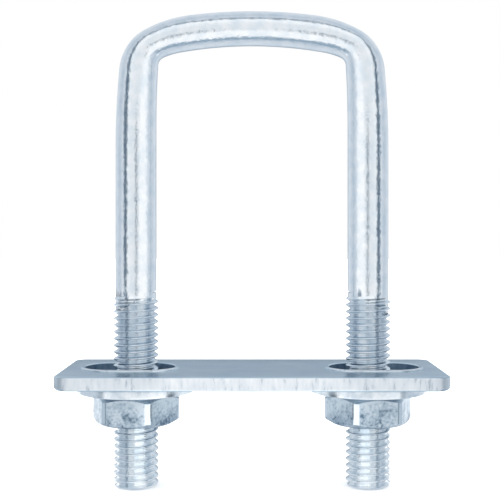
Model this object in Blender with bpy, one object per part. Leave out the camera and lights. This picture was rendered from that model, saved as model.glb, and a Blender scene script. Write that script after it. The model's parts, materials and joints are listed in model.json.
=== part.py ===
"""A square-bend U-bolt clamp: the threaded U-bolt, its slotted clamp plate,
two flat washers and two hexagon nuts, with real right-hand threads.

Frame: the rod ends stand on z = 0, the legs lie in the XZ plane on both
sides of the origin, +Z points to the crown and -Y is the front.
"""
import math

import bmesh
import bpy
from mathutils import Vector

MM = 0.001

# ---- Driving dimensions -------------------------------------------------

# The U-bolt: a round bar, bent square, with a gently arched crown
OVERALL_HEIGHT = 106.3 * MM      # rod ends to the top of the crown
LEG_SPACING = 52.1 * MM          # between the axes of the two legs
SHANK_DIAMETER = 9.1 * MM        # the plain bar above the rolled threads
CROWN_HEIGHT = 7.6 * MM          # the bar is pressed flatter across the crown
CROWN_DEPTH = 9.5 * MM           # and spreads a little, front to back
# Each line of the bend is a chain of arcs: (radius, angle turned through by
# its end, in degrees from the leg's own direction). A last flat arc over the
# crown closes it.
OUTER_BEND = [(190.0 * MM, 5.4), (11.2 * MM, 62.0), (29.0 * MM, 83.0)]
INNER_BEND = [(225.0 * MM, 3.5), (2.0 * MM, 66.5), (16.5 * MM, 80.0)]

# The thread: right-hand, rolled, the same on both legs
THREAD_DIAMETER = 10.0 * MM      # over the crests
THREAD_PITCH = 1.5 * MM
THREAD_DEPTH = 0.9 * MM          # crest to root
CREST_SHARE = 0.25               # of the pitch, the flat top of a crest
THREAD_LENGTH = 42.3 * MM        # rod end to the plain shank
END_CHAMFER = 0.7 * MM           # at 45 degrees on each rod end

# The clamp plate: flat bar with rounded corners and two oblong slots
PLATE_OVERHANG = 15.95 * MM      # from a leg's axis out to the plate's end
PLATE_DEPTH = 30.0 * MM
PLATE_THICKNESS = 3.0 * MM
PLATE_CORNER = 2.5 * MM          # radius of its four corners
PLATE_TOP = 26.4 * MM            # height of its upper face
SLOT_LENGTH = 20.2 * MM
SLOT_CLEARANCE = 2.0 * MM        # slot width over the thread diameter
SLOT_OFFSET = 1.3 * MM           # of each slot's middle, outward from its leg

# The washers
WASHER_DIAMETER = 26.0 * MM
WASHER_THICKNESS = 1.8 * MM
WASHER_CLEARANCE = 0.8 * MM      # its hole over the thread diameter
WASHER_EDGE = 0.2 * MM           # broken edge of its rim

# The nuts
NUT_WIDTH = 17.6 * MM            # across flats
NUT_HEIGHT = 6.8 * MM
NUT_TURN = 8.0                   # degrees that each nut stands turned
TOP_CHAMFER = 1.5 * MM           # from the flats in to the top face
TOP_CHAMFER_ANGLE = 30.0         # degrees
BOTTOM_CHAMFER = 0.8 * MM        # from the flats in to the bottom face
BOTTOM_CHAMFER_ANGLE = 30.0      # degrees
NUT_COUNTERSINK = 0.4 * MM       # of the bore at both faces, past the groove
THREAD_CLEARANCE = 0.3 * MM      # radial, between nut and bolt threads

GAP = 0.3 * MM                   # between pieces that rest on each other

# ---- How finely round shapes are cut -------------------------------------

BAR_SIDES = 16                   # around the bar and its thread
LEG_STATIONS = 3                 # along each plain leg
ARC_STATIONS = (3, 8, 3, 4)      # along the four arcs of half the bend
CORNER_SIDES = 5                 # around each corner of the plate
SLOT_SIDES = 12                  # around each end of a slot
ROUND_SIDES = 48                 # around washers and nut chamfers
SHARP_ANGLE = math.radians(35.0)


# ---- Helpers -------------------------------------------------------------

def clear_scene():
    """Remove every object, so that the model starts from nothing."""
    for item in list(bpy.data.objects):
        bpy.data.objects.remove(item, do_unlink=True)


def make_material(name, colour, roughness):
    """A metal finish: its colour in linear RGB and its roughness."""
    material = bpy.data.materials.new(name)
    material.use_nodes = True
    shader = material.node_tree.nodes["Principled BSDF"]
    shader.inputs["Base Color"].default_value = (*colour, 1.0)
    shader.inputs["Metallic"].default_value = 1.0
    shader.inputs["Roughness"].default_value = roughness
    return material


def add_object(name, bm, location=(0.0, 0.0, 0.0), material=None):
    """Turn a bmesh into a named object at its place."""
    bmesh.ops.recalc_face_normals(bm, faces=bm.faces)
    mesh = bpy.data.meshes.new(name)
    bm.to_mesh(mesh)
    bm.free()
    mesh.shade_smooth()
    mesh.set_sharp_from_angle(angle=SHARP_ANGLE)
    item = bpy.data.objects.new(name, mesh)
    item.location = location
    bpy.context.scene.collection.objects.link(item)
    if material:
        mesh.materials.append(material)
    return item


def cut(target, cutter, operation="DIFFERENCE"):
    """Give the target a live Boolean with a hidden cutter."""
    cutter.hide_render = True
    cutter.display_type = "WIRE"
    modifier = target.modifiers.new(cutter.name, "BOOLEAN")
    modifier.operation = operation
    modifier.solver = "EXACT"
    modifier.object = cutter


def close_rings(bm, rings):
    """Join rings of vertices into a tube and close both of its ends."""
    for first, second in zip(rings, rings[1:]):
        join_rings(bm, first, second)
    bm.faces.new(rings[0])
    bm.faces.new(rings[-1])


def join_rings(bm, first, second):
    """Bridge two rings that have the same number of vertices."""
    count = len(first)
    for side in range(count):
        following = (side + 1) % count
        bm.faces.new((first[side], first[following], second[following], second[side]))


def turned_body(profile, sides):
    """A closed bmesh turned about Z from (radius, height) pairs."""
    bm = bmesh.new()
    rings = []
    for radius, height in profile:
        ring = []
        for side in range(sides):
            angle = 2.0 * math.pi * side / sides
            ring.append(bm.verts.new((radius * math.cos(angle), radius * math.sin(angle), height)))
        rings.append(ring)
    close_rings(bm, rings)
    return bm


# ---- The thread ----------------------------------------------------------

def thread_rows():
    """One pitch of the thread as (share of the pitch, depth below the crest)."""
    flank = (1.0 - CREST_SHARE) / 2.0
    return [(0.0, THREAD_DEPTH), (flank, 0.0), (flank + CREST_SHARE, 0.0)]


def thread_skin(bm, axis_x, low, high, limit, grow=0.0):
    """The skin of a right-hand thread between two heights.

    Each column of vertices climbs by one pitch a turn. limit(radius, height)
    shapes the ends, and grow widens the whole thread. Returns the lowest and
    the highest ring of vertices.
    """
    rows = thread_rows()
    crest = THREAD_DIAMETER / 2.0 + grow

    def vertex(side, radius, height):
        angle = 2.0 * math.pi * side / BAR_SIDES
        return bm.verts.new(
            (axis_x + radius * math.cos(angle), radius * math.sin(angle), height)
        )

    low_ring = [vertex(side, limit(crest, low), low) for side in range(BAR_SIDES)]
    high_ring = [vertex(side, limit(crest, high), high) for side in range(BAR_SIDES)]

    def grid_vertex(turn, row, side):
        share, depth = rows[row]
        height = THREAD_PITCH * (turn + share + side / BAR_SIDES)
        if height <= low:
            return low_ring[side]
        if height >= high:
            return high_ring[side]
        return vertex(side, limit(crest - depth, height), height)

    first_turn = math.floor(low / THREAD_PITCH) - 1
    last_turn = math.ceil(high / THREAD_PITCH) + 1
    steps = [(turn, row) for turn in range(first_turn, last_turn) for row in range(len(rows))]
    columns = [[grid_vertex(turn, row, side) for turn, row in steps] for side in range(BAR_SIDES)]
    # After one turn a column is the first one again, one pitch higher.
    columns.append(columns[0][len(rows):])
    for left, right in zip(columns, columns[1:]):
        for step in range(len(right) - 1):
            corners = (left[step], right[step], right[step + 1], left[step + 1])
            unique = list(dict.fromkeys(corners))
            if len(unique) > 2:
                bm.faces.new(unique)
    return low_ring, high_ring


def bolt_thread_limit(radius, height):
    """Chamfer the rod end and let the thread run out into the shank."""
    root = THREAD_DIAMETER / 2.0 - THREAD_DEPTH
    chamfered = THREAD_DIAMETER / 2.0 - END_CHAMFER + height
    shank = SHANK_DIAMETER / 2.0
    fade = min(max((THREAD_LENGTH - height) / THREAD_PITCH, 0.0), 1.0)
    blended = shank + (radius - shank) * fade
    return max(min(blended, chamfered), min(root, chamfered))


# ---- The U-bolt ----------------------------------------------------------

def side_outline(half_width, top, arcs):
    """The left half of one line of the bend, from the leg to the middle.

    The arcs follow each other without a kink, and the last one, over the
    crown, has the radius that brings the line level at x = 0 and z = top.
    """
    x, z, turned = -half_width, 0.0, 0.0
    points = [Vector((x, z))]
    for index, steps in enumerate(ARC_STATIONS):
        if index < len(arcs):
            radius, end = arcs[index][0], math.radians(arcs[index][1])
        else:
            radius, end = -x / math.cos(turned), math.pi / 2.0
        for step in range(1, steps + 1):
            angle = turned + (end - turned) * step / steps
            place_x = x + radius * (math.cos(turned) - math.cos(angle))
            place_z = z + radius * (math.sin(angle) - math.sin(turned))
            points.append(Vector((place_x, place_z)))
        x, z, turned = points[-1].x, points[-1].y, end
    lift = top - z
    return [Vector((point.x, point.y + lift)) for point in points]


def bar_sections():
    """Outer point, inner point and depth of each section of the left half."""
    shank = SHANK_DIAMETER / 2.0
    outer_half = LEG_SPACING / 2.0 + shank
    inner_half = LEG_SPACING / 2.0 - shank
    outer = side_outline(outer_half, OVERALL_HEIGHT, OUTER_BEND)
    inner = side_outline(inner_half, OVERALL_HEIGHT - CROWN_HEIGHT, INNER_BEND)
    sections = []
    for station in range(1, LEG_STATIONS + 1):
        share = station / (LEG_STATIONS + 1)
        outer_z = THREAD_LENGTH + (outer[0].y - THREAD_LENGTH) * share
        inner_z = THREAD_LENGTH + (inner[0].y - THREAD_LENGTH) * share
        sections.append((Vector((-outer_half, outer_z)), Vector((-inner_half, inner_z)), 0.0))
    for index, (out_point, in_point) in enumerate(zip(outer, inner)):
        spread = min(index / sum(ARC_STATIONS[:2]), 1.0)
        sections.append((out_point, in_point, spread))
    return sections


def section_ring(bm, out_point, in_point, spread, side_sign):
    """One oval section of the bar; side_sign -1 is the left half, 1 the right."""
    middle = (out_point + in_point) / 2.0
    reach = (out_point - in_point) / 2.0
    depth = (SHANK_DIAMETER + (CROWN_DEPTH - SHANK_DIAMETER) * spread) / 2.0
    ring = []
    for side in range(BAR_SIDES):
        angle = 2.0 * math.pi * side / BAR_SIDES
        place = middle - reach * math.cos(angle)
        ring.append(bm.verts.new((-side_sign * place.x, depth * math.sin(angle), place.y)))
    return ring


def make_u_bolt(material):
    """The bent bar with a rolled thread on each leg, as one body."""
    bm = bmesh.new()
    half = LEG_SPACING / 2.0
    left_low, left_high = thread_skin(bm, -half, 0.0, THREAD_LENGTH, bolt_thread_limit)
    right_low, right_high = thread_skin(bm, half, 0.0, THREAD_LENGTH, bolt_thread_limit)
    sections = bar_sections()
    rings = [left_high]
    for out_point, in_point, spread in sections:
        rings.append(section_ring(bm, out_point, in_point, spread, -1.0))
    for out_point, in_point, spread in reversed(sections[:-1]):
        rings.append(section_ring(bm, out_point, in_point, spread, 1.0))
    # Over the crown the outside stays outside, so the right leg counts backward.
    turned = [right_high[(BAR_SIDES // 2 - side) % BAR_SIDES] for side in range(BAR_SIDES)]
    rings.append(turned)
    for first, second in zip(rings, rings[1:]):
        join_rings(bm, first, second)
    bm.faces.new(left_low)
    bm.faces.new(right_low)
    return add_object("u_bolt", bm, material=material)


# ---- The clamp plate -----------------------------------------------------

def rounded_outline(half_length, half_depth, radius, sides):
    """Points around a rectangle whose corners have the given radius."""
    points = []
    for quarter in range(4):
        sign_x = 1.0 if quarter in (0, 3) else -1.0
        sign_y = 1.0 if quarter in (0, 1) else -1.0
        for step in range(sides + 1):
            angle = math.pi / 2.0 * (quarter + step / sides)
            x = sign_x * (half_length - radius) + radius * math.cos(angle)
            y = sign_y * (half_depth - radius) + radius * math.sin(angle)
            points.append((x, y))
    return points


def prism(points, low, high):
    """A closed bmesh with one outline at two heights."""
    bm = bmesh.new()
    rings = [[bm.verts.new((x, y, height)) for x, y in points] for height in (low, high)]
    close_rings(bm, rings)
    bmesh.ops.remove_doubles(bm, verts=bm.verts, dist=1e-7)
    return bm


def make_plate(material):
    """The flat bar with an oblong slot over each leg."""
    half_length = LEG_SPACING / 2.0 + PLATE_OVERHANG
    corner_points = rounded_outline(
        half_length, PLATE_DEPTH / 2.0, PLATE_CORNER, CORNER_SIDES
    )
    plate = add_object(
        "clamp_plate",
        prism(corner_points, -PLATE_THICKNESS, 0.0),
        location=(0.0, 0.0, PLATE_TOP),
        material=material,
    )
    half_width = (THREAD_DIAMETER + SLOT_CLEARANCE) / 2.0
    slot_points = rounded_outline(SLOT_LENGTH / 2.0, half_width, half_width, SLOT_SIDES)
    slot_x = LEG_SPACING / 2.0 + SLOT_OFFSET
    for name, sign in (("left_slot_cutter", -1.0), ("right_slot_cutter", 1.0)):
        body = prism(slot_points, -PLATE_THICKNESS, PLATE_THICKNESS)
        height = PLATE_TOP - PLATE_THICKNESS / 2.0
        cut(plate, add_object(name, body, location=(sign * slot_x, 0.0, height)))
    return plate


# ---- The washers and the nuts --------------------------------------------

def make_washer(name, axis_x, top, material):
    """A flat washer with a broken rim; its origin is on the leg's axis."""
    rim = WASHER_DIAMETER / 2.0
    bore = (THREAD_DIAMETER + WASHER_CLEARANCE) / 2.0
    profile = [
        (bore, 0.0),
        (rim - WASHER_EDGE, 0.0),
        (rim, -WASHER_EDGE),
        (rim, -WASHER_THICKNESS + WASHER_EDGE),
        (rim - WASHER_EDGE, -WASHER_THICKNESS),
        (bore, -WASHER_THICKNESS),
    ]
    bm = bmesh.new()
    rings = []
    for radius, height in profile:
        ring = []
        for side in range(ROUND_SIDES):
            angle = 2.0 * math.pi * side / ROUND_SIDES
            ring.append(bm.verts.new((radius * math.cos(angle), radius * math.sin(angle), height)))
        rings.append(ring)
    for first, second in zip(rings, rings[1:] + rings[:1]):
        join_rings(bm, first, second)
    return add_object(name, bm, location=(axis_x, 0.0, top), material=material)


def hexagon_body():
    """The six-sided bar that a nut is cut from, a little longer than the nut."""
    corner = NUT_WIDTH / math.sqrt(3.0)
    points = []
    for side in range(6):
        angle = math.radians(60.0 * side)
        points.append((corner * math.cos(angle), corner * math.sin(angle)))
    return prism(points, -NUT_HEIGHT - GAP, GAP)


def chamfer_body():
    """A turned body that gives the hexagon its end faces and its two chamfers."""
    flat = NUT_WIDTH / 2.0
    beyond = NUT_WIDTH / math.sqrt(3.0) + GAP
    top_face = flat - TOP_CHAMFER
    bottom_face = flat - BOTTOM_CHAMFER
    top_drop = (beyond - top_face) * math.tan(math.radians(TOP_CHAMFER_ANGLE))
    bottom_drop = (beyond - bottom_face) * math.tan(math.radians(BOTTOM_CHAMFER_ANGLE))
    profile = [
        (top_face, 0.0),
        (beyond, -top_drop),
        (beyond, -NUT_HEIGHT + bottom_drop),
        (bottom_face, -NUT_HEIGHT),
    ]
    return turned_body(profile, ROUND_SIDES)


def tap_body(low, high):
    """The thread that a nut between two heights is cut with, and its countersinks.

    It is clear of the bolt's own thread and runs past both faces of the nut.
    """

    def countersunk(radius, height):
        mouth = THREAD_DIAMETER / 2.0 + THREAD_CLEARANCE + NUT_COUNTERSINK
        past_low = mouth - (height - low)
        past_high = mouth - (high - height)
        return max(radius, past_low, past_high)

    bm = bmesh.new()
    low_ring, high_ring = thread_skin(
        bm, 0.0, low - GAP, high + GAP, countersunk, grow=THREAD_CLEARANCE
    )
    bm.faces.new(low_ring)
    bm.faces.new(high_ring)
    return bm


def make_nut(name, axis_x, top, turn, material):
    """A hexagon nut with chamfers and a real internal thread."""
    nut = add_object(name, hexagon_body(), location=(axis_x, 0.0, top), material=material)
    nut.rotation_euler.z = math.radians(turn)
    keeper = add_object(name + "_chamfers", chamfer_body(), location=(axis_x, 0.0, top))
    cut(nut, keeper, "INTERSECT")
    # The tap keeps the bolt's own heights, so its grooves meet the bolt's crests.
    tap = tap_body(top - NUT_HEIGHT, top)
    cut(nut, add_object(name + "_tap", tap, location=(axis_x, 0.0, 0.0)))
    return nut


def main():
    clear_scene()
    bar_finish = make_material("zinc_plated_bar", (0.56, 0.62, 0.68), 0.30)
    plate_finish = make_material("zinc_plated_plate", (0.50, 0.57, 0.64), 0.35)
    washer_finish = make_material("zinc_plated_washer", (0.60, 0.65, 0.70), 0.28)
    nut_finish = make_material("zinc_plated_nut", (0.52, 0.58, 0.64), 0.30)
    make_u_bolt(bar_finish)
    make_plate(plate_finish)
    washer_top = PLATE_TOP - PLATE_THICKNESS - GAP
    nut_top = washer_top - WASHER_THICKNESS - GAP
    half = LEG_SPACING / 2.0
    for side, sign in (("left", -1.0), ("right", 1.0)):
        make_washer(side + "_washer", sign * half, washer_top, washer_finish)
        make_nut(side + "_nut", sign * half, nut_top, sign * NUT_TURN, nut_finish)


main()
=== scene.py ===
# %% [markdown]
# # A zinc-plated U-bolt clamp
# The real thing is a hardware-store fastener: a round steel bar bent square,
# threaded on both legs, with a slotted clamp plate, two flat washers and two
# hexagon nuts. This lesson rebuilds each piece in fine mesh around an
# engineering model, which fixes every size, place and motion, and then gives
# each surface the finish that its real manufacture leaves on it.

# %% Load the engineering frame
import json
import math

import bmesh
import bpy
from mathutils import Matrix, Vector

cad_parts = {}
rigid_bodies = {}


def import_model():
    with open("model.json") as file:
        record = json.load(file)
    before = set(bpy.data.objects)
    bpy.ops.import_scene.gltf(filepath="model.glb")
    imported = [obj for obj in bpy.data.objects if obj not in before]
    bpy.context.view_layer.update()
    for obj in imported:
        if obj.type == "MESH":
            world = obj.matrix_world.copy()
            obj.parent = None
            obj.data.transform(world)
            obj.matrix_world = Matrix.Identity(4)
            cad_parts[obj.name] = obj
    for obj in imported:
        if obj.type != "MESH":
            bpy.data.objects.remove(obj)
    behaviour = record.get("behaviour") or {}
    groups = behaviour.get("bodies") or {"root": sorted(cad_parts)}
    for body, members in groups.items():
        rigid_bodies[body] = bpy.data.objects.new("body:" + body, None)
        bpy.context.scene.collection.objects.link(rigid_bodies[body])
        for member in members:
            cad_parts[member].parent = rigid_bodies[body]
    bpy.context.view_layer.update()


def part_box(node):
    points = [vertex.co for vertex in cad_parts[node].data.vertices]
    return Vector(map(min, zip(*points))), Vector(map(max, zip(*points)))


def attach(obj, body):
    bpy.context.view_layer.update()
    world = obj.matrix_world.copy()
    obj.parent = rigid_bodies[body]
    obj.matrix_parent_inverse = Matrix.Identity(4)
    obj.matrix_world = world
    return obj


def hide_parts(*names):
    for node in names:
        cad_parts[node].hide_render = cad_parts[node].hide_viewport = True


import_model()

# %% [markdown]
# ## Sizes
# The overall sizes are read from the frame, so that the fine pieces always fit
# it. Only sizes that no bounding box can tell, such as bend radii, the thread
# form and edge rounding, are written here. Everything is kept in metres, and
# `MM` lets each value be read in the unit that a maker would use.

# %% Sizes read from the frame and maker's values
MM = 0.001
_, bar_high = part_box("u_bolt")
plate_low, plate_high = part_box("clamp_plate")
washer_low, washer_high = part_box("left_washer")
nut_low, nut_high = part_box("left_nut")

SHANK_RADIUS = 4.55 * MM
THREAD_RADIUS = 5.0 * MM
LEG_X = bar_high.x - THREAD_RADIUS
THREAD_TOP = 42.3 * MM
PITCH = 1.5 * MM
THREAD_DEPTH = 0.9 * MM
TOUCH = 0.01 * MM
SIDES = (("left", -1.0), ("right", 1.0))
print(f"legs {2 * LEG_X / MM:.1f} mm apart, {bar_high.z / MM:.1f} mm tall")

# %% [markdown]
# ## Small modelling helpers
# Pieces are drawn with Blender's own edit-mode operators. An operator acts on
# whatever is selected, so each piece starts with everything deselected. The
# helpers below pick one piece out, run a modifier for good, and put a finished
# piece's place into its mesh, as the frame's own nodes have it.

# %% Helpers for objects and modifiers
SMOOTH_BELOW = math.radians(32.0)


def deselect_all():
    """Leave edit mode and select nothing."""
    if bpy.context.mode != "OBJECT":
        bpy.ops.object.mode_set(mode="OBJECT")
    for item in bpy.context.scene.objects:
        item.select_set(False)


def take(item):
    """Make one object the only selected and active one."""
    deselect_all()
    item.select_set(True)
    bpy.context.view_layer.objects.active = item
    return item


def apply_modifier(item, kind, **settings):
    """Add a modifier, set it up and apply it for good."""
    take(item)
    modifier = item.modifiers.new(kind.lower(), kind)
    for name, value in settings.items():
        setattr(modifier, name, value)
    bpy.ops.object.modifier_apply(modifier=modifier.name)
    return item


def combine(item, other, operation):
    """Cut, keep or join with another closed piece, which is used up."""
    apply_modifier(item, "BOOLEAN", object=other, operation=operation, solver="EXACT")
    bpy.data.objects.remove(other, do_unlink=True)
    return item


def settle(item, name):
    """Name a finished piece and put its place into its mesh."""
    take(item)
    bpy.ops.object.transform_apply(location=True, rotation=True, scale=True)
    item.name = name
    item.data.name = name
    bpy.ops.object.shade_smooth_by_angle(angle=SMOOTH_BELOW)
    deselect_all()
    print(f"{name}: {len(item.data.polygons)} faces")
    return item


# %% [markdown]
# A turned or a screwed shape starts from a profile, a chain of vertices drawn
# beside its axis. It could be typed in as mesh data, but by hand one merges a
# small plane to a single vertex and extrudes that from point to point, which
# is what `draw_profile` does. `turn` then spins a profile to a closed body.

# %% Draw a profile and turn it


def draw_profile(points):
    """Vertices joined by edges through (radius, height) points at +X."""
    deselect_all()
    first = Vector((points[0][0], 0.0, points[0][1]))
    bpy.ops.mesh.primitive_plane_add(size=MM)
    item = bpy.context.object
    bpy.ops.object.mode_set(mode="EDIT")
    bpy.ops.mesh.merge(type="CENTER")
    bpy.ops.transform.translate(value=first)
    for (radius_a, height_a), (radius_b, height_b) in zip(points, points[1:]):
        move = (radius_b - radius_a, 0.0, height_b - height_a)
        bpy.ops.mesh.extrude_region_move(TRANSFORM_OT_translate={"value": move})
    bpy.ops.object.mode_set(mode="OBJECT")
    return item


def mend(item):
    """Merge doubled vertices and make every face look outward."""
    take(item)
    bpy.ops.object.mode_set(mode="EDIT")
    bpy.ops.mesh.select_all(action="SELECT")
    bpy.ops.mesh.remove_doubles(threshold=0.0001 * MM)
    bpy.ops.mesh.normals_make_consistent(inside=False)
    bpy.ops.object.mode_set(mode="OBJECT")
    return item


def turn(points, steps):
    """A body turned about Z from a profile whose ends lie on the axis or meet."""
    item = draw_profile(points)
    bpy.ops.object.mode_set(mode="EDIT")
    bpy.ops.mesh.select_all(action="SELECT")
    bpy.ops.mesh.spin(
        steps=steps, angle=math.tau, center=(0.0, 0.0, 0.0), axis=(0.0, 0.0, 1.0)
    )
    bpy.ops.object.mode_set(mode="OBJECT")
    return mend(item)


# %% [markdown]
# ## The thread
# The thread is rolled: hardened dies press the grooves in and the displaced
# steel rises into the crests, so the crests stand a little prouder than the
# plain shank and both crests and roots are rounded. One pitch is drawn as a
# profile and wound up by the Screw modifier. A bump map could fake it, but the
# outline of a thread is what the eye checks first, so it is real mesh.

# %% One pitch of the rolled thread
# Rolling leaves crests and roots equally round, so one pitch is a single wave.
THREAD_ROWS = 12
THREAD_STEPS = 64
SPARE_TURNS = 2


def wind_thread(low, high, grow=0.0):
    """A closed right-hand threaded rod on the Z axis between two heights."""
    root = THREAD_RADIUS - THREAD_DEPTH + grow
    start = (math.floor(low / PITCH) - SPARE_TURNS) * PITCH
    turns = math.ceil((high - start) / PITCH) + SPARE_TURNS + 1
    points = []
    for row in reversed(range(THREAD_ROWS + 1)):
        share = row / THREAD_ROWS
        depth = THREAD_DEPTH * (1.0 - math.cos(math.tau * share)) / 2.0
        points.append((root + depth, start + PITCH * share))
    item = draw_profile(points)
    apply_modifier(
        item, "SCREW", axis="Z", angle=math.tau, screw_offset=PITCH, iterations=turns,
        steps=THREAD_STEPS, render_steps=THREAD_STEPS, use_merge_vertices=True,
        merge_threshold=1e-6, use_smooth_shade=True,
    )
    for height, side in ((low, -1.0), (high, 1.0)):
        bpy.ops.object.mode_set(mode="EDIT")
        bpy.ops.mesh.select_all(action="SELECT")
        bpy.ops.mesh.bisect(
            plane_co=(0.0, 0.0, height), plane_no=(0.0, 0.0, side),
            use_fill=True, clear_outer=True,
        )
        bpy.ops.object.mode_set(mode="OBJECT")
    return mend(item)


# %% [markdown]
# ## The bent bar
# The bar is bent cold round a square former. The press thins the steel in the
# corners and squeezes the crown oval, while the inside of each bend stays so
# tight that it shows a crease. A curve with a round bevel can't thin or crease
# like that, so one ring of vertices is extruded along the bend, and each new
# ring is scaled and turned into its place between an outer and an inner line.

# %% Outer and inner lines of the bend
ARC_STEPS = (8, 24, 10, 14)
BAR_SIDES = 64
CROWN_HEIGHT = 7.6 * MM
CROWN_DEPTH = 9.5 * MM
# Each line is a chain of arcs: (radius, degrees turned through by its end). The
# legs lean in before the corner, and the crown closes the line as a last arc.
OUTER_BEND = [(190.0 * MM, 5.4), (11.2 * MM, 62.0), (29.0 * MM, 83.0)]
INNER_BEND = [(225.0 * MM, 3.5), (2.0 * MM, 66.5), (16.5 * MM, 80.0)]


def bend_line(half_width, top, arcs):
    """Left half of one line of the bend, from the leg to the crown's middle."""
    x, z, turned = -half_width, 0.0, 0.0
    line = [Vector((x, 0.0, z))]
    for index, steps in enumerate(ARC_STEPS):
        if index < len(arcs):
            radius, end = arcs[index][0], math.radians(arcs[index][1])
        else:
            radius, end = -x / math.cos(turned), math.pi / 2.0
        for step in range(1, steps + 1):
            angle = turned + (end - turned) * step / steps
            side = x + radius * (math.cos(turned) - math.cos(angle))
            height = z + radius * (math.sin(angle) - math.sin(turned))
            line.append(Vector((side, 0.0, height)))
        x, z, turned = line[-1].x, line[-1].z, end
    lift = Vector((0.0, 0.0, top - z))
    return [point + lift for point in line]


outer_line = bend_line(LEG_X + SHANK_RADIUS, bar_high.z, OUTER_BEND)
inner_line = bend_line(LEG_X - SHANK_RADIUS, bar_high.z - CROWN_HEIGHT, INNER_BEND)
print(f"{len(outer_line)} stations from the left leg to the middle of the crown")

# %% Stations that the ring of vertices passes through
SHANK_START = THREAD_TOP - 1.2 * MM
LEG_RINGS = 12


def station(outer, inner, spread):
    """A frame on the bar: its middle, outward, depth and along directions."""
    middle = (outer + inner) / 2.0
    outward = outer - inner
    depth = SHANK_RADIUS + (CROWN_DEPTH / 2.0 - SHANK_RADIUS) * spread
    along = outward.cross(Vector((0.0, 1.0, 0.0))).normalized()
    place = Matrix.Identity(4)
    place.col[0][:3] = outward / 2.0
    place.col[1][:3] = Vector((0.0, depth, 0.0))
    place.col[2][:3] = along
    place.col[3][:3] = middle
    return place


def leg_stations(top_station):
    """Stations up a plain leg, evenly spaced from its foot to the bend."""
    places = []
    for step in range(LEG_RINGS):
        place = top_station.copy()
        place.col[3].z += (SHANK_START - place.col[3].z) * (1.0 - step / LEG_RINGS)
        places.append(place)
    return places


# The bar has its full depth by the end of the second arc, past the corner.
crown_start = sum(ARC_STEPS[:2])
half_stations = [
    station(outer, inner, min(index / crown_start, 1.0))
    for index, (outer, inner) in enumerate(zip(outer_line, inner_line))
]
mirror = Matrix.Scale(-1.0, 4, Vector((1.0, 0.0, 0.0)))
other_half = [mirror @ place for place in reversed(half_stations[:-1])]
for place in other_half:
    place.col[2][:3] = -place.col[2].to_3d()
stations = [
    *leg_stations(half_stations[0]), *half_stations,
    *other_half, *reversed(leg_stations(other_half[-1])),
]

# %% Extrude the ring along the bar


def extrude_bar():
    """The plain bar from the end of one thread over the crown to the other."""
    deselect_all()
    bpy.ops.mesh.primitive_circle_add(vertices=BAR_SIDES, radius=1.0)
    item = bpy.context.object
    item.data.transform(stations[0])
    bpy.ops.object.mode_set(mode="EDIT")
    bpy.ops.mesh.select_all(action="SELECT")
    for before, after in zip(stations, stations[1:]):
        bpy.ops.mesh.extrude_region_move()
        mesh = bmesh.from_edit_mesh(item.data)
        ring = [vertex for vertex in mesh.verts if vertex.select]
        bmesh.ops.transform(mesh, matrix=after @ before.inverted(), verts=ring)
        bmesh.update_edit_mesh(item.data)
    bpy.ops.mesh.select_all(action="DESELECT")
    bpy.ops.mesh.select_non_manifold()
    bpy.ops.mesh.fill_holes(sides=0)
    bpy.ops.object.mode_set(mode="OBJECT")
    return mend(item)


bar = extrude_bar()
print("bar reaches", [round(v / MM, 2) for v in bar.dimensions])

# %% [markdown]
# ## Joining thread and shank
# On a real bolt the last turn of thread runs out: its groove gets shallower
# and its crest lower until both meet the shank. Trimming each threaded rod
# with a turned body lowers the crests and chamfers the rod's end, and a short
# cone on the shank fills the grooves. Both are then joined to the bar.

# %% Trim the threads and join them to the bar
END_CHAMFER = 0.7 * MM
END_ROUND = 0.12 * MM
RUN_OUT = 1.3 * MM
TRIM_SIDES = 96
root_radius = THREAD_RADIUS - THREAD_DEPTH


def threaded_leg(leg_x):
    """A threaded rod with a chamfered end and a thread that runs out."""
    rod = wind_thread(-MM, THREAD_TOP + MM)
    clear = 0.02 * MM
    rod_top = THREAD_TOP + 0.6 * MM
    face_radius = THREAD_RADIUS - END_CHAMFER
    trim = turn(
        [
            (0.0, rod_top),
            (SHANK_RADIUS - 0.1 * MM, rod_top),
            (SHANK_RADIUS + clear, THREAD_TOP + 0.3 * MM),
            (THREAD_RADIUS + clear, THREAD_TOP - 0.5 * RUN_OUT),
            (THREAD_RADIUS + clear, END_CHAMFER),
            (face_radius + 0.2 * MM, END_ROUND),
            (face_radius, 0.0),
            (0.0, 0.0),
        ],
        TRIM_SIDES,
    )
    combine(rod, trim, "INTERSECT")
    # The cone stays just inside the shank, so that no two walls coincide.
    cone_radius = SHANK_RADIUS - 0.003 * MM
    cone = turn(
        [
            (0.0, THREAD_TOP + MM),
            (cone_radius, THREAD_TOP + MM),
            (cone_radius, THREAD_TOP - 0.2 * RUN_OUT),
            (root_radius - 0.05 * MM, THREAD_TOP - RUN_OUT),
            (0.0, THREAD_TOP - RUN_OUT),
        ],
        BAR_SIDES,
    )
    combine(rod, cone, "UNION")
    rod.location.x = leg_x
    take(rod)
    bpy.ops.object.transform_apply(location=True, rotation=True, scale=True)
    return rod


for leg_x in (-LEG_X, LEG_X):
    combine(bar, threaded_leg(leg_x), "UNION")
bent_bar = settle(bar, "bent_bar")
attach(bent_bar, "u_bolt")
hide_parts("u_bolt")

# %% [markdown]
# ## The clamp plate
# The plate is cut from rolled flat bar and its slots are punched from below.
# So it starts as a cube whose upright edges are bevelled and whose rims are
# rounded, most of all below its two ends, where the shear came through. The
# slots are cut with stretched cylinders. The punch pushes a low burr up round
# each slot, which is a torus pulled out in the same way and joined on.

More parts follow.
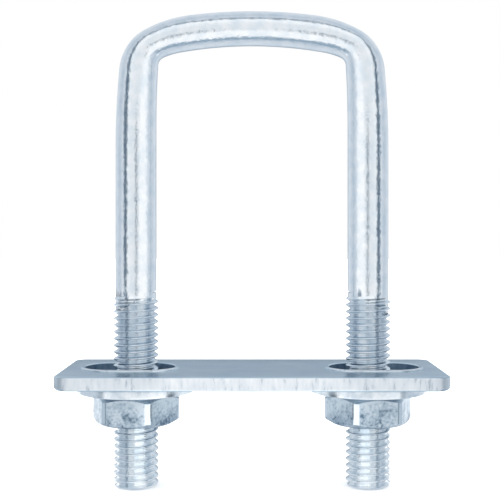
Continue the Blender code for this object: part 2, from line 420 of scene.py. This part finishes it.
# %% Sizes of the plate and the edge tools
PLATE_CORNER = 2.5 * MM
SLOT_LENGTH = 20.2 * MM
SLOT_WIDTH = 12.0 * MM
SLOT_OFFSET = 1.3 * MM
BURR_WIDTH = 1.0 * MM
BURR_HEIGHT = 0.4 * MM
# Painted highlight: the burr is painted bright only this far in front of a slot's middle.
PAINTED_BURR_FRONT = 3.0 * MM
RIM_ROLL = 0.3 * MM
END_ROLL = 1.1 * MM
SLOT_SIDES = 64
ON_WALL = 0.05 * MM


def select_edges(item, wanted):
    """Enter edit mode with only the edges selected for which wanted is true."""
    take(item)
    bpy.ops.object.mode_set(mode="EDIT")
    bpy.ops.mesh.select_mode(type="EDGE")
    bpy.ops.mesh.select_all(action="DESELECT")
    mesh = bmesh.from_edit_mesh(item.data)
    for edge in mesh.edges:
        if wanted(edge.verts[0].co, edge.verts[1].co):
            edge.select_set(True)
    bmesh.update_edit_mesh(item.data)


def bevel_edges(item, wanted, width, segments, profile=0.5):
    """Round the wanted edges of a piece with the bevel tool."""
    select_edges(item, wanted)
    bpy.ops.mesh.bevel(
        offset=width, offset_type="OFFSET", segments=segments, profile=profile,
        affect="EDGES", clamp_overlap=False,
    )
    bpy.ops.mesh.select_mode(type="VERT")
    bpy.ops.object.mode_set(mode="OBJECT")


def pull_apart(item, distance):
    """Cut a round piece at x = 0 and pull its halves to a long round-ended one."""
    for sign in (-1.0, 1.0):
        take(item)
        bpy.ops.object.mode_set(mode="EDIT")
        bpy.ops.mesh.select_all(action="SELECT")
        if sign < 0.0:
            bpy.ops.mesh.bisect(plane_co=(0.0, 0.0, 0.0), plane_no=(1.0, 0.0, 0.0))
        bpy.ops.mesh.select_all(action="DESELECT")
        mesh = bmesh.from_edit_mesh(item.data)
        for vertex in mesh.verts:
            vertex.select_set(sign * vertex.co.x > 0.001 * MM)
        mesh.select_flush_mode()
        bmesh.update_edit_mesh(item.data)
        bpy.ops.transform.translate(value=(sign * distance, 0.0, 0.0))
        bpy.ops.object.mode_set(mode="OBJECT")
    return item


# %% A slot and its burr
SLOT_PULL = (SLOT_LENGTH - SLOT_WIDTH) / 2.0


def slot_cutter(middle_x):
    """A bar with round ends that cuts one slot."""
    deselect_all()
    bpy.ops.mesh.primitive_cylinder_add(
        vertices=SLOT_SIDES, radius=SLOT_WIDTH / 2.0, depth=4.0 * (plate_high.z - plate_low.z)
    )
    item = pull_apart(bpy.context.object, SLOT_PULL)
    item.location = (middle_x, 0.0, plate_low.z)
    return item


def slot_burr(middle_x):
    """A low rounded ring that stands on the plate round one slot."""
    deselect_all()
    bpy.ops.mesh.primitive_torus_add(
        major_segments=SLOT_SIDES, minor_segments=20,
        major_radius=SLOT_WIDTH / 2.0 + 0.45 * BURR_WIDTH, minor_radius=BURR_WIDTH / 2.0,
    )
    item = pull_apart(bpy.context.object, SLOT_PULL)
    item.scale.z = BURR_HEIGHT / (BURR_WIDTH / 2.0)
    item.location = (middle_x, 0.0, plate_high.z)
    return item


def outside(point):
    """True for a point on the outer wall of the plate."""
    corner = Vector((plate_high.x - PLATE_CORNER, plate_high.y - PLATE_CORNER))
    over = Vector((max(abs(point.x) - corner.x, 0.0), max(abs(point.y) - corner.y, 0.0)))
    return abs(over.length - PLATE_CORNER) < ON_WALL


def in_slot(point):
    """True for a point on the wall of either slot."""
    along = abs(abs(point.x) - LEG_X - SLOT_OFFSET)
    away = math.hypot(max(along - SLOT_PULL, 0.0), point.y)
    return abs(away - SLOT_WIDTH / 2.0) < ON_WALL


def rim(level, wall):
    """A test for the edges where a wall meets the face at one level."""
    def wanted(a, b):
        flat = max(abs(a.z - level), abs(b.z - level)) < 0.001 * MM
        return flat and wall(a) and wall(b)
    return wanted


def round_ends(item):
    """Round the lower rim with an edge weight that grows towards the ends."""
    weights = item.data.attributes.new("bevel_weight_edge", "FLOAT", "EDGE")
    lower_rim = rim(plate_low.z, outside)
    for edge in item.data.edges:
        ends = [item.data.vertices[index].co for index in edge.vertices]
        past = (abs(sum(ends, Vector()).x) / 2.0 - plate_high.x) / PLATE_CORNER + 1.0
        share = min(max(past, 0.0), 1.0)
        if lower_rim(*ends):
            roll = RIM_ROLL + (END_ROLL - RIM_ROLL) * share
            weights.data[edge.index].value = roll / END_ROLL
    apply_modifier(
        item, "BEVEL", width=END_ROLL, segments=5, limit_method="WEIGHT",
        use_clamp_overlap=False,
    )


# %% Cut the plate
def make_plate():
    """The whole plate: corners, rims, burrs and slots, in that order."""
    deselect_all()
    bpy.ops.mesh.primitive_cube_add(
        size=1.0, location=(plate_low + plate_high) / 2.0, scale=plate_high - plate_low
    )
    item = bpy.context.object
    bpy.ops.object.transform_apply(location=True, rotation=True, scale=True)
    bevel_edges(item, lambda a, b: abs(a.z - b.z) > MM, PLATE_CORNER, 10)
    bevel_edges(item, rim(plate_high.z, outside), RIM_ROLL, 4)
    round_ends(item)
    for middle_x in (-LEG_X - SLOT_OFFSET, LEG_X + SLOT_OFFSET):
        combine(item, slot_burr(middle_x), "UNION")
        combine(item, slot_cutter(middle_x), "DIFFERENCE")
    return mend(item)


clamp_plate = settle(make_plate(), "slotted_plate")
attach(clamp_plate, "clamp_plate")
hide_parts("clamp_plate")

# %% [markdown]
# ## The washers
# A washer is punched from strip, so its upper rim is rolled over and its lower
# rim is nearly sharp. It is a turned shape: one closed profile of its section,
# spun round the leg. It fills the small gap that the engineering model leaves
# under the plate, where the real washer touches.

# %% Turn the two washers
WASHER_BORE = 5.4 * MM
WASHER_SIDES = 128
washer_rim = (washer_high.x - washer_low.x) / 2.0


def make_washer(leg_x):
    """A washer with its upper rims rolled over and its lower rims just eased."""
    top = plate_low.z - TOUCH
    low = washer_low.z
    roll = 0.4 * MM
    soft = 0.12 * MM
    section = [
        (WASHER_BORE + roll, top),
        (washer_rim - roll, top),
        (washer_rim - 0.3 * roll, top - 0.3 * roll),
        (washer_rim, top - roll),
        (washer_rim, low + soft),
        (washer_rim - soft, low),
        (WASHER_BORE + soft, low),
        (WASHER_BORE, low + soft),
        (WASHER_BORE, top - roll),
        (WASHER_BORE + 0.3 * roll, top - 0.3 * roll),
        (WASHER_BORE + roll, top),
    ]
    item = turn(section, WASHER_SIDES)
    item.location.x = leg_x
    return item


washers = []
for side, sign in SIDES:
    washer = settle(make_washer(sign * LEG_X), side + "_flat_washer")
    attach(washer, side + "_washer")
    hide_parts(side + "_washer")
    washers.append(washer)

# %% [markdown]
# ## The nuts
# A nut is pressed hot from hexagon bar, chamfered on a lathe and tapped. The
# chamfer cuts each flat in a shallow bow, which is the bright curved line that
# one sees on it. Modelled the same way, a six-sided cylinder with rounded
# corners keeps only what lies inside a turned body, and a threaded rod, grown
# by a little clearance, is then cut out of it.

# %% Press, chamfer and tap a nut
NUT_FLAT = 8.8 * MM
NUT_TURN = 8.0
NUT_CORNER = 1.0 * MM
NUT_RIM = 0.2 * MM
NUT_SIDES = 128
SHARP_CORNER = 2.0 * NUT_FLAT / math.sqrt(3.0)
CHAMFER_SLOPE = math.tan(math.radians(30.0))
TAP_GROW = 0.12 * MM


def hexagon_bar(top, low, turned):
    """A six-sided bar with rounded corners between two heights."""
    deselect_all()
    bpy.ops.mesh.primitive_cylinder_add(
        vertices=6, radius=SHARP_CORNER, depth=top - low,
        location=(0.0, 0.0, (top + low) / 2.0),
        rotation=(0.0, 0.0, math.radians(30.0 + turned)),
    )
    item = bpy.context.object
    bpy.ops.object.transform_apply(location=True, rotation=True, scale=True)
    bevel_edges(item, lambda a, b: abs(a.z - b.z) > MM, NUT_CORNER, 10)
    return item


def nut_chamfers(top, low):
    """A turned body that leaves the chamfers of both faces."""
    corner = SHARP_CORNER + 0.3 * MM
    top_face = NUT_FLAT - 1.5 * MM
    low_face = NUT_FLAT - 0.8 * MM
    top_drop = (corner - top_face) * CHAMFER_SLOPE
    low_rise = (corner - low_face) * CHAMFER_SLOPE
    return turn(
        [(0.0, top), (top_face, top), (corner, top - top_drop),
         (corner, low + low_rise), (low_face, low), (0.0, low)],
        NUT_SIDES,
    )


def countersink(height, outward):
    """A short cone that opens the bore at one face."""
    mouth = THREAD_RADIUS + 0.5 * MM
    depth = 1.4 * MM
    start = height + outward * 0.2 * MM
    end = height - outward * depth
    return turn(
        [(0.0, start), (mouth, start), (mouth, height), (mouth - depth, end), (0.0, end)],
        TRIM_SIDES,
    )


def make_nut(leg_x, turned):
    """A tapped nut whose flats are turned by so many degrees from the front."""
    top = washer_low.z - TOUCH
    low = nut_low.z
    item = hexagon_bar(top, low, turned)
    combine(item, nut_chamfers(top, low), "INTERSECT")
    apply_modifier(
        item, "BEVEL", width=NUT_RIM, segments=3, limit_method="ANGLE",
        angle_limit=math.radians(20.0),
    )
    combine(item, wind_thread(low - MM, top + MM, TAP_GROW), "DIFFERENCE")
    combine(item, countersink(low, -1.0), "DIFFERENCE")
    item.location.x = leg_x
    return item


nuts = []
for side, sign in SIDES:
    nut = settle(make_nut(sign * LEG_X, sign * NUT_TURN), side + "_hex_nut")
    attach(nut, side + "_nut")
    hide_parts(side + "_nut")
    nuts.append(nut)

# %% [markdown]
# ## Finishes
# All the steel is electroplated with bright zinc and passivated blue: a metal
# with a faint blue cast, brighter than bare steel and softer than chrome. The
# plating copies the surface beneath it, so what differs from piece to piece is
# that surface: drawn bar, rolled sheet, a sheared edge, a pressed nut.

# %% Helpers for colours and nodes


def colour(hex_value):
    """An sRGB colour such as D9E1E8 as linear RGBA."""
    channels = [int(hex_value[index:index + 2], 16) / 255.0 for index in (0, 2, 4)]
    linear = [c / 12.92 if c <= 0.04045 else ((c + 0.055) / 1.055) ** 2.4 for c in channels]
    return (*linear, 1.0)


def add_node(tree, kind, settings=None, inputs=None):
    """Add a node, set its properties, and set or link its inputs by name."""
    node = tree.nodes.new(kind)
    for name, value in (settings or {}).items():
        setattr(node, name, value)
    for name, value in (inputs or {}).items():
        if isinstance(value, bpy.types.NodeSocket):
            tree.links.new(value, node.inputs[name])
        else:
            node.inputs[name].default_value = value
    return node


def compute(tree, operation, *values):
    """The result of one sum on numbers and sockets."""
    settings = {"operation": operation}
    return add_node(tree, "ShaderNodeMath", settings, dict(enumerate(values))).outputs[0]


def surface_place(tree):
    """Where a point is on its own piece, which is also its place in the frame."""
    return add_node(tree, "ShaderNodeTexCoord").outputs["Object"]


def height_of(tree, place):
    """How high a place is, in metres."""
    return add_node(tree, "ShaderNodeSeparateXYZ", inputs={"Vector": place}).outputs["Z"]


def new_metal(name, roughness):
    """A material with a metallic shader; the metal keeps its default IOR."""
    material = bpy.data.materials.new(name)
    material.use_nodes = True
    tree = material.node_tree
    shader = tree.nodes["Principled BSDF"]
    shader.inputs["Metallic"].default_value = 1.0
    shader.inputs["Roughness"].default_value = roughness
    return material, tree, shader


def ramp(tree, factor, stops):
    """A colour ramp with (position, hex colour) stops."""
    node = add_node(tree, "ShaderNodeValToRGB", inputs={"Fac": factor})
    elements = node.color_ramp.elements
    while len(elements) < len(stops):
        elements.new(0.5)
    for element, (position, hex_value) in zip(elements, stops):
        element.position = position
        element.color = colour(hex_value)
    return node.outputs["Color"]


def noise(tree, place, size, detail=2.0, stretch=(1.0, 1.0, 1.0)):
    """Noise whose blotches are about size metres across."""
    mapping = add_node(
        tree, "ShaderNodeMapping",
        inputs={"Vector": place, "Scale": [share / size for share in stretch]},
    )
    node = add_node(
        tree, "ShaderNodeTexNoise",
        inputs={"Vector": mapping.outputs["Vector"], "Scale": 1.0, "Detail": detail},
    )
    return node.outputs["Fac"]


def add_bump(tree, height, strength, distance, under=None):
    """A bump of a height, over another bump if one is given; its normal."""
    inputs = {"Height": height, "Strength": strength, "Distance": distance}
    if under is not None:
        inputs["Normal"] = under
    return add_node(tree, "ShaderNodeBump", inputs=inputs).outputs["Normal"]


print("colour check:", [round(c, 3) for c in colour("D9E1E8")])

# %% [markdown]
# ### Zinc on drawn bar
# The bar is cold drawn, which leaves it smooth, with shallow waves and fine
# pits that break up the edge of each reflection. Both are real dents, so they
# go into a bump and not into the colour; the colour only drifts a little, as
# the passivation's thickness does. The upper threads are painted a little
# greyer as painted shade, up to where the plain shank begins.

# %% Bright zinc on drawn bar
# Painted shade on the threads: the tone at a share of the way from the rod's end to the
# thread's top.
THREAD_PAINTED_SHADE = [
    (0.0, "FFFFFF"), (0.5, "FAFBFB"), (0.68, "EEF1F4"), (0.97, "F1F3F5"), (1.0, "FFFFFF"),
]


def zinc_on_bar():
    """A smooth metal with waves, pits, a drifting tint and painted shade on the upper threads.
    """
    material, tree, shader = new_metal("bright_zinc_on_drawn_bar", 0.2)
    place = surface_place(tree)
    drift = noise(tree, place, 2.5 * MM, 3.0)
    tint = ramp(tree, drift, [(0.3, "DBE4EB"), (0.65, "EBEFF2")])
    # Painted shade: the colour is greyer on the upper threads, set by height.
    upper_thread_shade = ramp(tree, compute(tree, "DIVIDE", height_of(tree, place), THREAD_TOP), THREAD_PAINTED_SHADE)
    mixed = add_node(
        tree, "ShaderNodeMix", {"data_type": "RGBA", "blend_type": "MULTIPLY"},
        {"Factor": 1.0},
    )
    # The colour sockets share their names with number sockets: 6 is A, 7 is B
    # and 2 is the colour result.
    tree.links.new(tint, mixed.inputs[6])
    tree.links.new(upper_thread_shade, mixed.inputs[7])
    tree.links.new(mixed.outputs[2], shader.inputs["Base Color"])
    waves = add_bump(tree, noise(tree, place, 1.0 * MM, 3.0), 0.35, 0.25 * MM)
    pits = add_bump(tree, noise(tree, place, 0.35 * MM, 3.0), 0.12, 0.05 * MM, waves)
    tree.links.new(pits, shader.inputs["Normal"])
    return material


bar_zinc = zinc_on_bar()
bent_bar.data.materials.clear()
bent_bar.data.materials.append(bar_zinc)
print("finish:", bar_zinc.name)

# %% [markdown]
# ### Zinc on the plate
# The plate's faces are rolled and a little duller and bluer. Its outline is
# sheared: the cut face is torn and whitish, with short upright streaks where
# the blade dragged, and it scatters light far more than the rolled faces do.

# %% Zinc on rolled and on sheared steel
def zinc_on_plate():
    """A bluer metal with the fine lengthwise grain of rolled bar."""
    material, tree, shader = new_metal("blue_zinc_on_rolled_plate", 0.26)
    place = surface_place(tree)
    drift = noise(tree, place, 9.0 * MM, 4.0)
    tint = ramp(tree, drift, [(0.3, "B6C9D6"), (0.7, "C8D7E0")])
    tree.links.new(tint, shader.inputs["Base Color"])
    grain = noise(tree, place, 0.5 * MM, 3.0, stretch=(0.15, 1.0, 1.0))
    tree.links.new(add_bump(tree, grain, 0.08, 0.05 * MM), shader.inputs["Normal"])
    return material


def zinc_on_torn_steel(name, tones):
    """A dull streaky finish from three tones, the darkest first."""
    material, tree, shader = new_metal(name, 0.5)
    place = surface_place(tree)
    streaks = noise(tree, place, 0.9 * MM, 4.0, stretch=(1.0, 1.0, 0.25))
    tint = ramp(tree, streaks, [(0.26, tones[0]), (0.4, tones[1]), (0.75, tones[2])])
    tree.links.new(tint, shader.inputs["Base Color"])
    tree.links.new(add_bump(tree, streaks, 0.2, 0.08 * MM), shader.inputs["Normal"])
    return material


def is_upright(face):
    """True for a face that leans less than about 20 degrees from upright."""
    return abs(face.normal.z) < 0.35


def plate_finish(face):
    """The finish of a face of the plate: 0 rolled, 1 sheared or a burr's front painted bright,
    2 punched and painted in shade.
    """
    # Painted highlight: the burr gets the whitish sheared finish along the front of a slot
    # only.
    painted_highlight_burr = face.center.z > plate_high.z + 0.2 * BURR_HEIGHT and face.center.y < -PAINTED_BURR_FRONT
    if painted_highlight_burr or is_upright(face) and outside(face.center):
        return 1
    return 2 if is_upright(face) and in_slot(face.center) else 0


plate_zinc = zinc_on_plate()
# The sheared finish also paints a highlight on the front of each burr.
shear_and_burr_highlight_zinc = zinc_on_torn_steel("white_zinc_on_sheared_edge_and_painted_burr_highlight", ("AAB5BE", "DAE0E6", "EAEEF1"))
# Painted shade: the slot walls are dull torn steel like the sheared edge, but painted much
# darker.
shaded_slot_zinc = zinc_on_torn_steel("dull_zinc_with_painted_shade_in_slot", ("6F8BA5", "88A3BB", "A8BDCF"))
clamp_plate.data.materials.clear()
for finish in (plate_zinc, shear_and_burr_highlight_zinc, shaded_slot_zinc):
    clamp_plate.data.materials.append(finish)
for face in clamp_plate.data.polygons:
    face.material_index = plate_finish(face)
finish_list = [face.material_index for face in clamp_plate.data.polygons]
print("plate faces by finish:", [finish_list.count(index) for index in range(3)])

# %% [markdown]
# ### Zinc on washers and nuts
# Both are small pressed parts that tumble against each other in the plating
# barrel, so they carry more dents and specks than the bar does, and the nuts
# rub their upright corners smooth and bright.

# %% Zinc on small pressed parts
# The nut's colour has more dark patches towards the bottom: 1 mm higher up counts as so much
# less dark.
DARK_PATCH_FADE = 0.018 / MM
# Faces that look more than so many degrees away from a flat are on a corner.
OFF_FLAT = 4.0


def zinc_on_washer():
    """A bright metal with shallow dents."""
    material, tree, shader = new_metal("bright_zinc_on_punched_washer", 0.24)
    place = surface_place(tree)
    drift = noise(tree, place, 2.5 * MM, 3.0)
    tint = ramp(tree, drift, [(0.32, "CBD6DF"), (0.62, "ECF1F5")])
    tree.links.new(tint, shader.inputs["Base Color"])
    dents = noise(tree, place, 0.8 * MM, 3.0)
    tree.links.new(add_bump(tree, dents, 0.08, 0.08 * MM), shader.inputs["Normal"])
    return material


def zinc_on_nut():
    """A duller metal with even dents, and dark patches in its colour, more of them low down.
    """
    material, tree, shader = new_metal("blue_zinc_on_pressed_nut", 0.3)
    place = surface_place(tree)
    patches = noise(tree, place, 3.2 * MM, 2.0)
    specks = noise(tree, place, 0.6 * MM, 4.0)
    even = compute(tree, "MULTIPLY", patches, specks)
    # Only the colour, not the bump, grows darker towards the bottom of the nut.
    faded = compute(tree, "MULTIPLY_ADD", height_of(tree, place), DARK_PATCH_FADE, even)
    at_middle = DARK_PATCH_FADE * (nut_low.z + nut_high.z) / 2.0
    clear = compute(tree, "SUBTRACT", faded, at_middle)
    tint = ramp(tree, clear, [(0.11, "667A8C"), (0.18, "A1B2C0"), (0.32, "C6D2DB")])
    tree.links.new(tint, shader.inputs["Base Color"])
    tree.links.new(add_bump(tree, even, 0.25, 0.1 * MM), shader.inputs["Normal"])
    return material


def zinc_on_corner():
    """The corners of a nut are rubbed smooth where they meet other nuts."""
    material, _, shader = new_metal("rubbed_zinc_on_nut_corner", 0.17)
    shader.inputs["Base Color"].default_value = colour("CFDAE2")
    return material


def on_corner(face, leg_x, turned):
    """True for a face on one of the six rounded upright corners of a nut."""
    away = math.hypot(face.center.x - leg_x, face.center.y)
    looks = math.degrees(math.atan2(face.normal.y, face.normal.x)) - turned
    off_flat = abs(looks % 60.0 - 30.0)
    return away > NUT_FLAT and is_upright(face) and off_flat > OFF_FLAT


washer_zinc = zinc_on_washer()
nut_zinc = zinc_on_nut()
corner_zinc = zinc_on_corner()
for pieces, finish in ((washers, washer_zinc), (nuts, nut_zinc)):
    for piece in pieces:
        piece.data.materials.clear()
        piece.data.materials.append(finish)
for nut, (side, sign) in zip(nuts, SIDES):
    nut.data.materials.append(corner_zinc)
    for face in nut.data.polygons:
        face.material_index = int(on_corner(face, sign * LEG_X, sign * NUT_TURN))
print("corner faces of a nut:", sum(face.material_index for face in nuts[0].data.polygons))

# %% [markdown]
# ## The studio
# Polished metal shows its surroundings, so the surroundings are the picture.
# The clamp stands on a white table in a white tent, which is bright round the
# lens and dims towards the sides and the back. One soft box in front of the
# gap between the legs whitens the inner side of the bar, and a lower one
# lights the nuts, the rod ends and the plate's front edge. Dark cards at both
# sides and above draw the dark line that runs round the bar's outer side, and
# two slim ones near the lens draw the thin line down the middle of each leg.
# Between the nuts, a small dark card shades their inner corners and light ones
# lift their inner flats; two more behind the clamp lift the outer flats.

# %% Table
TABLE_SIZE = 4.0


def stage_material(name, paint, light="000000", glow=0.0):
    """A matt material with its paint, and the light that it gives off."""
    material = bpy.data.materials.new(name)
    material.use_nodes = True
    shader = material.node_tree.nodes["Principled BSDF"]
    shader.inputs["Base Color"].default_value = colour(paint)
    shader.inputs["Roughness"].default_value = 0.9
    shader.inputs["Specular IOR Level"].default_value = 0.0
    shader.inputs["Emission Color"].default_value = colour(light)
    shader.inputs["Emission Strength"].default_value = glow
    return material


def make_table():
    """A white table just under the rod ends, which reflections leave out."""
    deselect_all()
    bpy.ops.mesh.primitive_plane_add(size=TABLE_SIZE, location=(0.0, 0.0, -0.05 * MM))
    item = bpy.context.object
    item.name = "table"
    item.data.materials.append(stage_material("white_table", "FFFFFF"))
    item.visible_glossy = False


make_table()

# %% The tent
# How bright the tent is at an angle in degrees from the lens.
TENT = [
    (0, "DDDFE1"), (22, "DDDFE1"), (36, "E6E8EA"), (55, "F2F3F4"), (66, "E9EBEE"),
    (80, "C5CCD4"), (96, "B5BEC8"), (116, "C3CAD2"), (138, "CCD3DA"), (152, "C8D0D8"),
    (166, "98A3AF"), (180, "8C98A4"),
]
TENT_STRENGTH = 1.3
FLOOD_STRENGTH = 2.0


def make_tent():
    """A world that is plain white to the camera and a graded tent to metal."""
    world = bpy.data.worlds.new("light_tent")
    world.use_nodes = True
    tree = world.node_tree
    tree.nodes.clear()
    place = add_node(tree, "ShaderNodeTexCoord").outputs["Generated"]
    split = add_node(tree, "ShaderNodeSeparateXYZ", inputs={"Vector": place})
    angle = compute(tree, "ARCCOSINE", compute(tree, "MULTIPLY", split.outputs["Y"], -1.0))
    share = compute(tree, "DIVIDE", angle, math.pi)
    tent = ramp(tree, share, [(degrees / 180.0, tone) for degrees, tone in TENT])
    rays = add_node(tree, "ShaderNodeLightPath")
    flood = add_node(tree, "ShaderNodeBackground", inputs={"Strength": FLOOD_STRENGTH})
    glow = add_node(
        tree, "ShaderNodeBackground", inputs={"Color": tent, "Strength": TENT_STRENGTH}
    )
    backdrop = add_node(tree, "ShaderNodeBackground", inputs={"Strength": 1.0})
    for node in (flood, backdrop):
        node.inputs["Color"].default_value = colour("FFFFFF")
    light = add_node(
        tree, "ShaderNodeMixShader",
        inputs={0: rays.outputs["Is Glossy Ray"], 1: flood.outputs[0], 2: glow.outputs[0]},
    )
    final = add_node(
        tree, "ShaderNodeMixShader",
        inputs={0: rays.outputs["Is Camera Ray"], 1: light.outputs[0], 2: backdrop.outputs[0]},
    )
    add_node(tree, "ShaderNodeOutputWorld", inputs={"Surface": final.outputs[0]})
    # The tent is found by the reflections themselves, never sampled as a lamp,
    # because a lamp has one look for every kind of ray.
    world.cycles.sampling_method = "NONE"
    bpy.context.scene.world = world


make_tent()
bpy.context.scene.view_settings.view_transform = "Standard"

# %% Cards and soft boxes that only reflections see
# Sizes and places are in millimetres. A card's turn is in degrees about Z, and
# its taper is its upper edge as a share of its lower one. The cards of a pair
# are written for the right side and mirrored for the left.
PAIRED_CARDS = [
    # Each side card is edge-on to the far leg, so that it draws only one line.
    {"name": "upper_card", "middle": (60.5, -21.8, 97.0), "size": (40.0, 108.0),
     "tone": "5E7385", "turned": -12.0},
    {"name": "lower_card", "middle": (60.5, -21.8, 6.0), "size": (40.0, 74.0),
     "tone": "A3B0BB", "turned": -12.0},
    {"name": "lens_card", "middle": (18.0, -60.0, 60.0), "size": (6.0, 52.0),
     "tone": "7B8995", "taper": 1.8},
    {"name": "nut_card", "middle": (0.5, 0.0, 18.0), "size": (18.0, 12.0),
     "tone": "E6EBEF", "glow": 1.1, "turned": 90.0},
    {"name": "back_card", "middle": (69.0, 45.0, 6.0), "size": (30.0, 36.0),
     "tone": "F4F6F8", "glow": 1.5, "turned": -37.0},
]
SINGLE_CARDS = [
    {"name": "top_dark_card", "middle": (0.0, -20.0, 140.0), "size": (120.0, 9.0),
     "tone": "6F8496", "upright": False},
    {"name": "middle_dark_card", "middle": (0.0, -14.0, 16.0), "size": (8.0, 12.0),
     "tone": "3E4C59", "turned": 90.0},
    {"name": "window_soft_box", "middle": (0.0, -20.0, 57.0), "size": (40.0, 66.0),
     "tone": "FFFFFF", "glow": 1.15, "taper": 0.8},
    {"name": "low_soft_box", "middle": (0.0, -20.0, 8.5), "size": (54.0, 23.0),
     "tone": "FFFFFF", "glow": 1.58},
]


def make_card(name, middle, size, tone, glow=1.0, upright=True, turned=0.0, taper=1.0):
    """A lit card that only reflections see."""
    deselect_all()
    bpy.ops.mesh.primitive_plane_add(
        size=MM, location=[MM * value for value in middle],
        rotation=(math.radians(90.0) if upright else 0.0, 0.0, math.radians(turned)),
    )
    item = bpy.context.object
    for vertex in item.data.vertices:
        if vertex.co.y > 0.0:
            vertex.co.x *= taper
    item.scale = (*size, 1.0)
    item.name = name
    item.data.materials.append(stage_material(name, "000000", tone, glow))
    item.visible_camera = False
    item.visible_shadow = False
    item.visible_diffuse = False


def mirrored(card, side, sign):
    """The settings of one card of a pair, on the side asked for."""
    x, y, z = card["middle"]
    turned = sign * card.get("turned", 0.0)
    name = f"{side}_{card['name']}"
    return {**card, "name": name, "middle": (sign * x, y, z), "turned": turned}


for side, sign in SIDES:
    for card in PAIRED_CARDS:
        make_card(**mirrored(card, side, sign))
for card in SINGLE_CARDS:
    make_card(**card)
print("studio ready")

# %% [markdown]
# ## The camera
# A long lens stands level in front of the clamp, just over half-way up, so the
# legs stay upright and the plate's upper face just shows.

# %% Camera
CAMERA_DISTANCE = 215.0 * MM
CAMERA_HEIGHT = 56.2 * MM
LENS = 68.9
LENS_SHIFT = (-0.004, -0.03)

camera_data = bpy.data.cameras.new("camera")
camera = bpy.data.objects.new("camera", camera_data)
bpy.context.scene.collection.objects.link(camera)
camera.location = (0.0, -CAMERA_DISTANCE, CAMERA_HEIGHT)
camera.rotation_euler = (math.radians(90.0), 0.0, 0.0)
camera_data.lens = LENS
camera_data.clip_start = MM
camera_data.shift_x, camera_data.shift_y = LENS_SHIFT
bpy.context.scene.camera = camera
